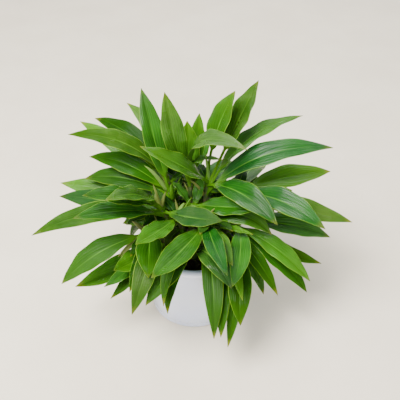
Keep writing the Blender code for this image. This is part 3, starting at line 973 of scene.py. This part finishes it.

# %% [markdown]
# Each look is a set of shares that the leaf's points carry to the material: how yellow the blade is, how
# bluish, which is partly its tint and partly a painted sheen of the sky, how dark, which is partly its age
# and partly painted shade, how pale, how worn its tip is, and how much of it is dry straw. Each leaf also
# gets a small change of its own. That way two materials serve every leaf, where a material for each age would
# need a dozen. The duller leaves, which are mostly the oldest, take the dull finish in place of the glossy
# one.

# %% Looks of leaves
Look = namedtuple("Look", "yellow blue dark pale wear straw", defaults=(0.0,))
LOOKS = {
    "green": Look(0.15, 0.05, 0.25, 0.0, 0.3),
    "fresh": Look(0.60, 0.0, 0.0, 0.0, 0.4),
    # The bluish shares, most in this look, teal and sheen, are partly the leaf's tint and partly a painted
    # sheen of the sky.
    "blue": Look(0.0, 0.35, 0.50, 0.0, 0.2),
    "teal": Look(0.0, 0.7, 1.0, 0.0, 0.2),
    "sheen": Look(0.05, 0.15, 0.50, 0.0, 0.3),
    "pale": Look(0.15, 0.15, 0.6, 0.05, 0.3),
    "olive": Look(0.50, 0.0, 0.70, 0.0, 0.5),
    "golden": Look(0.95, 0.0, 0.05, 0.0, 0.8),
    "matt": Look(0.25, 0.0, 0.65, 0.0, 0.3),
    # The dark shares of old, hanging and teal are partly the deep green of old leaves and partly painted
    # shade on leaves that hang low, sit at the back and fill the middle.
    "old": Look(0.10, 0.0, 0.95, 0.0, 0.5),
    "worn": Look(0.5, 0.0, 0.4, 0.1, 1.0),
    "hanging": Look(0.25, 0.0, 1.0, 0.0, 0.6),
    "cream": Look(0.6, 0.0, 0.0, 1.0, 0.0, 0.25),
    "papery": Look(0.6, 0.0, 0.3, 0.1, 1.0, 0.6),
    "brown": Look(0.4, 0.0, 0.9, 0.0, 1.0, 0.6),
}
LOOK_CHANCE = 0.1
DULL_LOOKS = ("matt", "old", "hanging", "teal")
GLOSSY, CANE, DULL = 0, 1, 2


def looked(tube, look, draw):
    """The tube with its look's shares at its points, each give or take a tenth and kept within 0 to 1."""
    flat = np.ones(tube["points"].shape[:2])
    for name, share in LOOKS[look]._asdict().items():
        tube[name] = flat * min(1.0, max(0.0, share + give_or_take(draw, LOOK_CHANCE)))
    tube.setdefault("material", DULL if look in DULL_LOOKS else GLOSSY)
    return tube


print("looks:", ", ".join(LOOKS))

# %% [markdown]
# ## The stem itself
#
# The stem is a cane: a round tube that tapers to its crown, with a low ring where each old leaf fell off. It
# could be a curve with a round bevel, but rings worked out here can swell and sink along the line.

# %% Round tubes and canes
STEM_RADIUS = 0.0045
STEM_TOP_RADIUS = 0.0028
STEM_DEPTH = 0.030
SUNK_SHARE = 0.6
SUNK_ROWS = 9
CANE_ROWS = 46
CANE_COLUMNS = 20
CANE_UV_LENGTH = 0.1
CANE_ASIDE = (0.0, 1.0, 0.0)
SCAR_STEP = 0.0072
SCAR_WIDTH = 0.12
SCAR_HEIGHT = 0.00035
SCAR_SINK = 0.0002
END_START = 0.985
END_SHARE = 0.6


def round_tube(line, radius, aside, v, columns, stalky):
    """Rings about a line: each point is the line's + radius x (side sin a + face cos a).

    The side is at a right angle to the line and to aside, a heading that the line never takes.
    """
    along = unit(np.gradient(line, axis=0))
    side = unit(np.cross(along, aside))
    face = np.cross(along, side)
    around = full_turn(columns)
    ring = side[:, None] * np.sin(around)[..., None] + face[:, None] * np.cos(around)[..., None]
    points = line[:, None] + radius[..., None] * ring
    flat = np.ones(points.shape[:2])
    return {"points": points, "uv": ring_uv(around, v), "stalky": stalky * flat, "under": 0 * flat}


def cane_tube(stem, draw):
    """An even taper, plus a bell e^-(d/w)^2 at each scar, where d is how far off the scar is in steps."""
    down = np.linspace(-STEM_DEPTH * SUNK_SHARE, 0, SUNK_ROWS + 1)[:-1]
    t = np.linspace(0, 1, CANE_ROWS)
    line = stem_curve(stem, t)
    line = np.concatenate([line[:1] + np.stack([0 * down, 0 * down, down], axis=1), line])
    step = np.linalg.norm(np.diff(line, axis=0), axis=1)
    length = np.concatenate([[0], np.cumsum(step)])[:, None]
    t = np.concatenate([0 * down, t])[:, None]
    radius = STEM_RADIUS + (STEM_TOP_RADIUS - STEM_RADIUS) * t
    scar = np.exp(-(((length / SCAR_STEP + draw.uniform(0, 1)) % 1 - 0.5) / SCAR_WIDTH) ** 2)
    radius = (radius - SCAR_SINK + SCAR_HEIGHT * scar) * np.where(t > END_START, END_SHARE, 1.0)
    tube = round_tube(line, radius, CANE_ASIDE, length / CANE_UV_LENGTH, CANE_COLUMNS, 1.0)
    tube["material"] = CANE
    return tube


print("scars on a stem, one each", round(SCAR_STEP / MM, 1), "mm")

# %% [markdown]
# ## Shoots, sheaths and old stalks
#
# The middle of the plant is full of small parts that the plain model leaves out: rolled young leaves, the
# papery sheaths they came out of, and stalks whose leaves have gone. Each is a short tapered tube, bent a
# little upward. The ones that stand out are listed with both their ends in millimetres. The rest are
# scattered: each stem gets some, at seeded heights and headings, rising steeply and close to it. Hair
# particles could fill the middle too, but they wouldn't be real shapes in the meshes.

# %% Shoots
Shoot = namedtuple("Shoot", "stem start end radius look")

SHOOTS = (
    Shoot("stem_left", (-30, 28, 139), (-54, 30, 172), 2.4, "cream"),
    Shoot("stem_left", (-24, 20, 134), (-25, 20, 154), 3.0, "fresh"),
    Shoot("stem_centre", (-18, -4, 128), (-10, 0, 144), 2.8, "cream"),
    Shoot("stem_centre", (-18, -4, 126), (-4, -16, 136), 1.2, "papery"),
    Shoot("stem_left_front", (-38, 0, 138), (-42, 8, 150), 2.6, "brown"),
    Shoot("stem_left_front", (-36, 2, 134), (-30, 14, 149), 2.2, "brown"),
    Shoot("stem_low_left", (-52, -24, 119), (-81, -42, 103), 2.6, "papery"),
    Shoot("stem_low_left", (-52, -26, 117), (-78, -44, 105), 2.0, "brown"),
    Shoot("stem_low_left", (-50, -22, 118), (-66, -18, 133), 2.6, "brown"),
    Shoot("stem_back_right", (17, 32, 148), (12, 31, 190), 1.7, "cream"),
    Shoot("stem_back_right", (16, 33, 146), (18, 34, 182), 1.3, "fresh"),
    Shoot("stem_right", (50, -6, 124), (40, -20, 131), 2.0, "fresh"),
)
SHOOTS_PER_STEM = 5
SHOOT_ROWS = 14
SHOOT_COLUMNS = 10
SHOOT_TAPER = 0.95
SHOOT_STARTS = (0.25, 0.95)
SHOOT_RISES = (50, 80)
SHOOT_REACHES = (0.014, 0.036)
SHOOT_RADII = (0.0010, 0.0019)
SHOOT_LOOKS = ("fresh", "green", "old", "brown")
SHOOT_ASIDE = (0.31, 0.92, 0.24)


def shoot_tube(start, end, radius):
    """A round spear whose middle is bent up by a tenth of its length: its radius is r (1 - 0.95 t^3)."""
    t = np.linspace(0, 1, SHOOT_ROWS)[:, None]
    middle = (start + end) / 2 + np.array((0, 0, 0.2)) * np.linalg.norm(end - start)
    line = quadratic(start, middle, end, t)
    thick = radius * (1 - SHOOT_TAPER * t**3)
    return round_tube(line, thick, SHOOT_ASIDE, t, SHOOT_COLUMNS, 0.4)


def stem_shoots(stem, draw):
    """The listed shoots of a stem, and its scattered ones."""
    made = []
    for shoot in [shoot for shoot in SHOOTS if shoot.stem == stem.name]:
        ends = np.array((shoot.start, shoot.end)) * MM
        made.append(looked(shoot_tube(*ends, shoot.radius * MM), shoot.look, draw))
    for _ in range(SHOOTS_PER_STEM):
        start = stem_curve(stem, [draw.uniform(*SHOOT_STARTS)])[0]
        heading = draw.uniform(0, 2 * math.pi)
        rising = math.radians(draw.uniform(*SHOOT_RISES))
        end = start + draw.uniform(*SHOOT_REACHES) * pointing(heading, rising)
        look = draw.choice(SHOOT_LOOKS)
        made.append(looked(shoot_tube(start, end, draw.uniform(*SHOOT_RADII)), look, draw))
    return made


print("listed shoots:", len(SHOOTS), "scattered shoots:", SHOOTS_PER_STEM * len(STEMS))

# %% [markdown]
# Small old leaves sit low on the stems, under the large ones, and keep the middle of the plant dark: they
# block light, and their dark old look is partly painted shade. Some are listed, with the share of the stem's
# height that they grow at and their tips. The others point away from the pot's axis, up to a quarter turn to
# each side by seeded chance. They are made of fewer faces than the large ones, because they are small and
# mostly in shade.

# %% Inner leaves
Inner = namedtuple("Inner", "stem height tip")

INNER = (
    Inner("stem_back_right", 0.95, (2, 62, 152)),
    Inner("stem_back_right", 0.60, (24, 58, 102)),
    Inner("stem_middle", 0.95, (4, 72, 130)),
    Inner("stem_middle", 0.45, (-14, 58, 90)),
    Inner("stem_middle", 0.50, (12, 58, 98)),
    Inner("stem_left", 0.60, (-34, 58, 86)),
    Inner("stem_left", 0.90, (-22, 60, 128)),
)
INNER_PER_STEM = 4
INNER_ROWS = 24
INNER_COLUMNS = 16
INNER_STARTS = (0.25, 0.90)
INNER_RISES = (-25, 35)
INNER_REACHES = (0.032, 0.048)
INNER_WIDTHS = (12, 16)
INNER_ARCH = 5
INNER_BOW = 2


def inner_leaves(stem, draw):
    """The small leaves of one stem: the listed ones, and some whose heading, rise and reach are drawn."""
    ends = []
    for inner in [inner for inner in INNER if inner.stem == stem.name]:
        ends.append((stem_curve(stem, [inner.height])[0], np.array(inner.tip) * MM))
    for _ in range(INNER_PER_STEM):
        root = stem_curve(stem, [draw.uniform(*INNER_STARTS)])[0]
        heading = math.atan2(root[1], root[0]) + give_or_take(draw, math.pi / 2)
        rising = math.radians(draw.uniform(*INNER_RISES))
        ends.append((root, root + draw.uniform(*INNER_REACHES) * pointing(heading, rising)))
    made = []
    for root, tip in ends:
        width = draw.uniform(*INNER_WIDTHS)
        leaf = Leaf(tuple(tip / MM), width, INNER_ARCH, give_or_take(draw, INNER_BOW), 0)
        tube = leaf_tube(root, tip, 0, leaf, draw, INNER_ROWS, INNER_COLUMNS)
        # The old look's dark green is partly painted shade in the middle of the plant.
        made.append(looked(tube, "old", draw))
    return made


print("listed inner leaves:", len(INNER), "scattered ones:", INNER_PER_STEM * len(STEMS))

# %% [markdown]
# ## The finish of a leaf
#
# The colour is built up in layers, mostly as on the real blade: two greens in soft clouds and along the
# veins, the leaf's own dark, bluish, pale or yellow share, a pale midrib, a thin yellow-green margin, a worn
# tip, the grey-green back, and the yellow-green stalk. The dark share is partly painted shade, and the bluish
# share is partly a painted sheen of the sky. The glossy and the dull leaves share all of it, so it is a node
# group: its inputs are the place on the blade and the shares that the points carry.

# %% Colours of a leaf
DEEP_AND_LIVELY = ((0.003, 0.055, 0.001), (0.024, 0.175, 0.001))
# A near-black green: partly the deep green of old leaves, partly painted shade.
DEEP_GREEN_AND_PAINTED_SHADE = (0.002, 0.022, 0.001)
# A bluish green: partly the tint of some leaves, partly a painted sheen of the sky.
BLUISH_TINT_AND_SHEEN = (0.004, 0.085, 0.022)
PALE_GREEN = (0.22, 0.42, 0.11)
YELLOW_GREEN = (0.110, 0.300, 0.001)
MIDRIB_GREEN = (0.12, 0.36, 0.02)
MARGIN_GREEN = (0.32, 0.58, 0.04)
WORN_TIP = (0.27, 0.25, 0.02)
BACK_GREENS = ((0.014, 0.080, 0.003), (0.034, 0.140, 0.006))
STALK_GREEN = (0.060, 0.190, 0.003)
STRAWS = ((0.080, 0.070, 0.016), (0.330, 0.330, 0.095))


def layer(tree, colour, share, strength, added):
    """The colour with another laid over it, as far as the share times the strength."""
    return blend_colours(tree, calculate(tree, "MULTIPLY", share, strength), colour, added)


def face_colour(tree, given, light):
    """Two greens by the light value, then dark (partly painted shade), bluish (partly painted sky sheen),
    pale, yellow.
    """
    colour = blend_colours(tree, light, *DEEP_AND_LIVELY)
    colour = layer(tree, colour, given["Dark"], 0.9, DEEP_GREEN_AND_PAINTED_SHADE)
    colour = layer(tree, colour, given["Blue"], 0.6, BLUISH_TINT_AND_SHEEN)
    colour = layer(tree, colour, given["Pale"], 0.8, PALE_GREEN)
    outer = calculate(tree, "MULTIPLY_ADD", rise(tree, given["Along"], 0.45, 1.0), 0.55, 0.45)
    yellow = calculate(tree, "MULTIPLY", given["Yellow"], outer)
    return layer(tree, colour, yellow, 0.7, YELLOW_GREEN)


def added_parts(tree, given, colour, across, veins, clouds):
    """The colour with midrib, margin, worn tip, back, stalk and straw laid over it, in that order."""
    fading = calculate(tree, "SUBTRACT", 1.0, rise(tree, given["Along"], 0.25, 0.95))
    midrib = calculate(tree, "SUBTRACT", 1.0, rise(tree, across, 0.012, 0.07))
    colour = layer(tree, colour, calculate(tree, "MULTIPLY", midrib, fading), 0.5, MIDRIB_GREEN)
    colour = layer(tree, colour, rise(tree, across, 0.94, 0.995), 0.6, MARGIN_GREEN)
    ragged = calculate(tree, "MULTIPLY_ADD", clouds, 0.05, given["Along"])
    colour = layer(tree, colour, rise(tree, ragged, 0.92, 1.03), given["Wear"], WORN_TIP)
    colour = layer(tree, colour, given["Under"], 0.75, blend_colours(tree, veins, *BACK_GREENS))
    colour = layer(tree, colour, given["Stalky"], 1.0, STALK_GREEN)
    return layer(tree, colour, given["Straw"], 1.0, blend_colours(tree, clouds, *STRAWS))


print("a leaf's face goes from", DEEP_AND_LIVELY[0], "to", DEEP_AND_LIVELY[1])

# %% [markdown]
# The same group gives the roughness, which changes from place to place and is higher on the back and on dry
# straw, and the height of the veins and of the soft quilting between them.

# %% The blade as a node group
CARRIED = (*Look._fields, "stalky", "under")
VEIN_COUNT = 5.0
THREAD_COUNT = 17.0
VEIN_LEAN = 0.55


def blade_group():
    """The colour, roughness and height of a leaf, from the place on the blade and the carried values.

    The light between the two greens is 0.45 x veins + 0.12 x threads + 0.55 x clouds. The roughness is 0.17
    + 0.10 x clouds + 0.22 x under + 0.3 x straw, and the height is veins + 0.35 x threads + 0.8 x clouds.
    """
    inputs = dict.fromkeys(("Sideways", "Along", *(name.capitalize() for name in CARRIED)), 0.0)
    outputs = {"Colour": "Color", "Roughness": "Float", "Height": "Float"}
    tree, given, result = new_group("blade", inputs, outputs)
    off_middle = calculate(tree, "SUBTRACT", given["Sideways"], 0.5)
    across = calculate(tree, "MULTIPLY", calculate(tree, "ABSOLUTE", off_middle), 2.0)
    lines = {"Across": across, "Along": given["Along"], "Lean": VEIN_LEAN}
    veins = place_group(tree, VEINS, **lines, Count=VEIN_COUNT)["Line"]
    threads = place_group(tree, VEINS, **lines, Count=THREAD_COUNT)["Line"]
    clouds = mottle(tree, 38.0, 3.0)
    light = calculate(tree, "MULTIPLY_ADD", veins, 0.45, calculate(tree, "MULTIPLY", clouds, 0.55))
    light = calculate(tree, "MULTIPLY_ADD", threads, 0.12, light)
    colour = face_colour(tree, given, light)
    tree.links.new(added_parts(tree, given, colour, across, veins, clouds), result["Colour"])
    gloss = calculate(tree, "MULTIPLY_ADD", clouds, 0.10, 0.17)
    gloss = calculate(tree, "MULTIPLY_ADD", given["Under"], 0.22, gloss)
    tree.links.new(calculate(tree, "MULTIPLY_ADD", given["Straw"], 0.3, gloss), result["Roughness"])
    height = calculate(tree, "MULTIPLY_ADD", veins, 1.0, calculate(tree, "MULTIPLY", threads, 0.35))
    tree.links.new(calculate(tree, "MULTIPLY_ADD", clouds, 0.8, height), result["Height"])
    return tree


BLADE = blade_group()
print("the blade's group has", len(BLADE.nodes), "nodes")

# %% [markdown]
# The leaf's material reads the uv and the carried values, hands them to the group, and adds how strongly the
# surface reflects. A little light goes through the thin blade, which subsurface scattering imitates. The
# stem's skin is a dull green with small brown scars, and has no blade, so it stays a plain material.

# %% Leaf and stem finishes
GLOSSY_SHINE = 0.25
DULL_SHINE = 0.07
SKIN_GREENS = ((0.014, 0.050, 0.004), (0.045, 0.095, 0.012))
SCAR_BROWN = (0.110, 0.075, 0.030)


def leaf_finish(name, shine):
    """The blade's group on a surface whose highlights are this strong."""
    made, tree, shader = new_material(name)
    uv = add_node(tree, "ShaderNodeUVMap", uv_map="surface").outputs[0]
    place = add_node(tree, "ShaderNodeSeparateXYZ", {0: uv}).outputs
    sockets = {"Sideways": place["X"], "Along": place["Y"]}
    for value in CARRIED:
        carried = add_node(tree, "ShaderNodeAttribute", attribute_name=value).outputs["Fac"]
        sockets[value.capitalize()] = carried
    blade = place_group(tree, BLADE, **sockets)
    tree.links.new(blade["Colour"], shader.inputs["Base Color"])
    tree.links.new(blade["Roughness"], shader.inputs["Roughness"])
    raise_bumps(tree, shader, blade["Height"], 0.5, 0.0006)
    shader.inputs["Specular IOR Level"].default_value = shine
    shader.inputs["Subsurface Weight"].default_value = 0.08
    shader.inputs["Subsurface Radius"].default_value = (0.4, 1.0, 0.1)
    shader.inputs["Subsurface Scale"].default_value = 0.002
    return made


def green_cane():
    """Two dull greens in clouds, with brown scars where a finer mottle is high."""
    made, tree, shader = new_material("stem skin")
    colour = blend_colours(tree, mottle(tree, 120.0, 4.0), *SKIN_GREENS)
    scars = mottle(tree, 420.0, 3.0)
    colour = blend_colours(tree, rise(tree, scars, 0.6, 1.0), colour, SCAR_BROWN)
    tree.links.new(colour, shader.inputs["Base Color"])
    tree.links.new(calculate(tree, "MULTIPLY_ADD", scars, 0.25, 0.45), shader.inputs["Roughness"])
    raise_bumps(tree, shader, place_group(tree, GRAIN, Scale=600.0)["Height"], 0.4, 0.0004)
    return made


leaf_finishes = [
    leaf_finish("glossy leaf", GLOSSY_SHINE),
    green_cane(),
    leaf_finish("dull leaf", DULL_SHINE),
]
print("finishes:", ", ".join(finish.name for finish in leaf_finishes))

# %% [markdown]
# ## Grow the stems
#
# Each stem and its leaves make one piece, as they grew, and the piece takes the place of the plain node. The
# leaves could be objects of their own, but on the plant nothing comes apart. Each stem has draws of its own,
# seeded by its name, so a change to one stem leaves the others as they are.

# %% Leafy stems
def grow_stem(stem, finishes):
    """One piece: the stem's tube, a tube for every leaf found on the plain node, shoots and small leaves."""
    draw = random.Random(stem.name)
    tubes = [looked(cane_tube(stem, draw), "green", draw)]
    for root, tip, lift, leaf in LEAVES[stem.name]:
        tubes.append(looked(leaf_tube(root, tip, lift, leaf, draw), leaf.look, draw))
    tubes += stem_shoots(stem, draw) + inner_leaves(stem, draw)
    return build_piece(stem.name + "_grown", tubes, finishes, [stem.name])


for stem in STEMS:
    grown = grow_stem(stem, leaf_finishes)
    print(grown.name, len(LEAVES[stem.name]), "leaves,", len(grown.data.polygons), "faces")

# %% [markdown]
# ## Floor and light
#
# The plant stands on a plain pale floor, one large square. It lies half a millimetre low, so that the pot's
# base doesn't share its plane.

# %% Floor
FLOOR_HALF = 4.0
FLOOR_DROP = 0.0005
FLOOR_COLOURS = ((0.90, 0.81, 0.66), (0.95, 0.86, 0.71))


def pale_floor():
    """Two warm pale colours in large clouds."""
    made, tree, shader = new_material("pale floor")
    pale = blend_colours(tree, mottle(tree, 9.0, 4.0), *FLOOR_COLOURS)
    tree.links.new(pale, shader.inputs["Base Color"])
    shader.inputs["Roughness"].default_value = 0.7
    return made


floor_corners = [(x * FLOOR_HALF, y * FLOOR_HALF, 0) for x, y in ((-1, -1), (1, -1), (1, 1), (-1, 1))]
floor_mesh = bpy.data.meshes.new("floor")
floor_mesh.from_pydata(floor_corners, [], [(0, 1, 2, 3)])
floor_mesh.materials.append(pale_floor())
floor = bpy.data.objects.new("floor", floor_mesh)
floor.location = (0, 0, -FLOOR_DROP)
bpy.context.scene.collection.objects.link(floor)
print("floor:", 2 * FLOOR_HALF, "m wide")

# %% [markdown]
# Soft daylight comes from a wide panel above and to the left. A second panel behind puts a sheen on the upper
# leaves, a weak one in front lights the pot as a pale wall would, and a pale sky fills the shadows. Lamps
# without any width would give hard shadows, as a bare bulb does.

# %% Lights
PLANT_MIDDLE = (0, 0, 0.13)
SKY_COLOUR = (0.95, 0.97, 0.94, 1.0)
SKY_STRENGTH = 0.60


def soft_panel(name, place, power, size, colour, shiny=True):
    """A square panel of light, unseen itself. Nothing mirrors one that isn't shiny.

    It aims at the plant: tilted by atan(flat distance / height above), then turned by atan(x / -y).
    """
    light = bpy.data.lights.new(name, "AREA")
    light.energy = power
    light.size = size
    light.color = colour
    panel = bpy.data.objects.new(name, light)
    panel.location = place
    aim = np.array(place) - np.array(PLANT_MIDDLE)
    flat = math.hypot(aim[0], aim[1])
    panel.rotation_euler = (math.atan2(flat, aim[2]), 0, math.atan2(aim[0], -aim[1]))
    panel.visible_glossy = shiny
    panel.visible_camera = False
    bpy.context.scene.collection.objects.link(panel)
    print("light:", name, power, "W")


soft_panel("window", place=(-0.65, -0.45, 1.55), power=79, size=0.9, colour=(1.0, 0.97, 0.92))
soft_panel("front_wall", place=(0.5, -2.4, 0.9), power=26, size=1.0, colour=(0.92, 0.95, 1.0), shiny=False)
soft_panel("back_window", place=(0.3, 1.3, 1.2), power=14, size=1.0, colour=(0.95, 0.97, 0.96))
sky = bpy.data.worlds.new("pale sky")
sky.use_nodes = True
sky.node_tree.nodes["Background"].inputs["Color"].default_value = SKY_COLOUR
sky.node_tree.nodes["Background"].inputs["Strength"].default_value = SKY_STRENGTH
bpy.context.scene.world = sky
